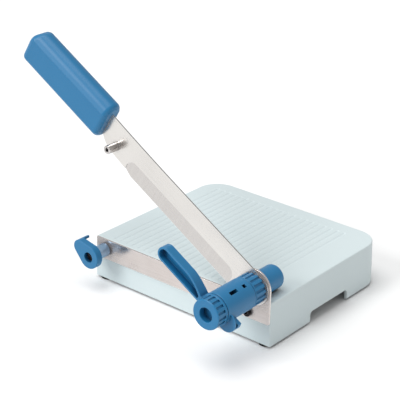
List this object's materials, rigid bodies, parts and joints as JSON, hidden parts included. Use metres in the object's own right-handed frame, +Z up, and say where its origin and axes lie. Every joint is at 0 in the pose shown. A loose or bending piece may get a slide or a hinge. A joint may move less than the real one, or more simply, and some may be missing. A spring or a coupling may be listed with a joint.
{
  "type": "lever cheese slicer",
  "caption": "Board with a front steel strip, a pivoted blade with a grip, a latch lever and an adjustable thickness stop on the pivot.",
  "frame": {"origin": "on the table under the middle of the board's top", "axes": "+Z up, +X along the front strip from the latch to the pivot, +Y to the back of the board"},
  "size_m": [0.3102, 0.2639, 0.248],
  "materials": {
    "moulded_body": "satin, lightly grained",
    "blue_moulding": "satin",
    "blade_steel": "fine ground",
    "strip_steel": "satin brushed",
    "polished_steel": "polished",
    "plated_steel": "plated",
    "dark_steel": "blackened",
    "spring_steel": "plain",
    "bush_brass": "turned",
    "foot_rubber": "matte",
    "white_nylon": "matte"
  },
  "bodies": {
    "frame": {"base_shell": "moulded_body", "foot_front_left": "foot_rubber", "foot_front_right": "foot_rubber", "foot_rear_left": "foot_rubber", "foot_rear_right": "foot_rubber", "front_plate": "strip_steel", "plate_screw": "dark_steel", "plate_screw_nut": "plated_steel", "latch_post": "polished_steel", "latch_post_washer": "plated_steel", "latch_post_nut": "plated_steel", "latch_screw": "dark_steel", "latch_washer": "plated_steel", "pivot_bush": "bush_brass", "pivot_spindle": "plated_steel", "disc_springs": "spring_steel", "cap_nut": "plated_steel", "rear_cap": "blue_moulding", "thrust_washer": "white_nylon"},
    "blade_arm": {"blade": "blade_steel", "blade_grip": "blue_moulding", "latch_stud": "plated_steel"},
    "latch": {"latch_lever": "blue_moulding"},
    "stop_sleeve": {"guide_sleeve": "blue_moulding", "sleeve_plug": "blue_moulding"},
    "ring": {"adjusting_ring": "blue_moulding"},
    "barrel": {"stop_barrel": "blue_moulding", "clamp_collet": "white_nylon"},
    "knob": {"clamp_knob": "blue_moulding"}
  },
  "joints": [
    {"name": "blade_pivot", "type": "hinge", "parent": "frame", "child": "blade_arm", "pos_m": [0.092, -0.0981, 0.0601], "axis": [0, 1, 0], "range_deg": [-31.57, 50]},
    {"name": "latch_turn", "type": "hinge", "parent": "frame", "child": "latch", "pos_m": [-0.0961, -0.119, 0.0372], "axis": [0, 1, 0], "range_deg": [-60, 26.5]},
    {"name": "stop_swing", "type": "hinge", "parent": "frame", "child": "stop_sleeve", "pos_m": [0.092, -0.13, 0.0601], "axis": [0, 1, 0], "range_deg": [-33, 25]},
    {"name": "ring_turn", "type": "hinge", "parent": "stop_sleeve", "child": "ring", "pos_m": [0.092, -0.1059, 0.0601], "axis": [0, 1, 0], "range_deg": [0, 180.1]},
    {"name": "stop_slide", "type": "slide", "parent": "stop_sleeve", "child": "barrel", "axis": [0, -1, 0], "range_m": [0, 0.008]},
    {"name": "knob_turn", "type": "hinge", "parent": "barrel", "child": "knob", "pos_m": [0.092, -0.16, 0.0601], "axis": [0, 1, 0], "range_deg": [-90, 0]}
  ],
  "couplings": [
    {"joint": "ring_turn", "follows": "stop_slide", "rad_per_m": 392.7}
  ]
}
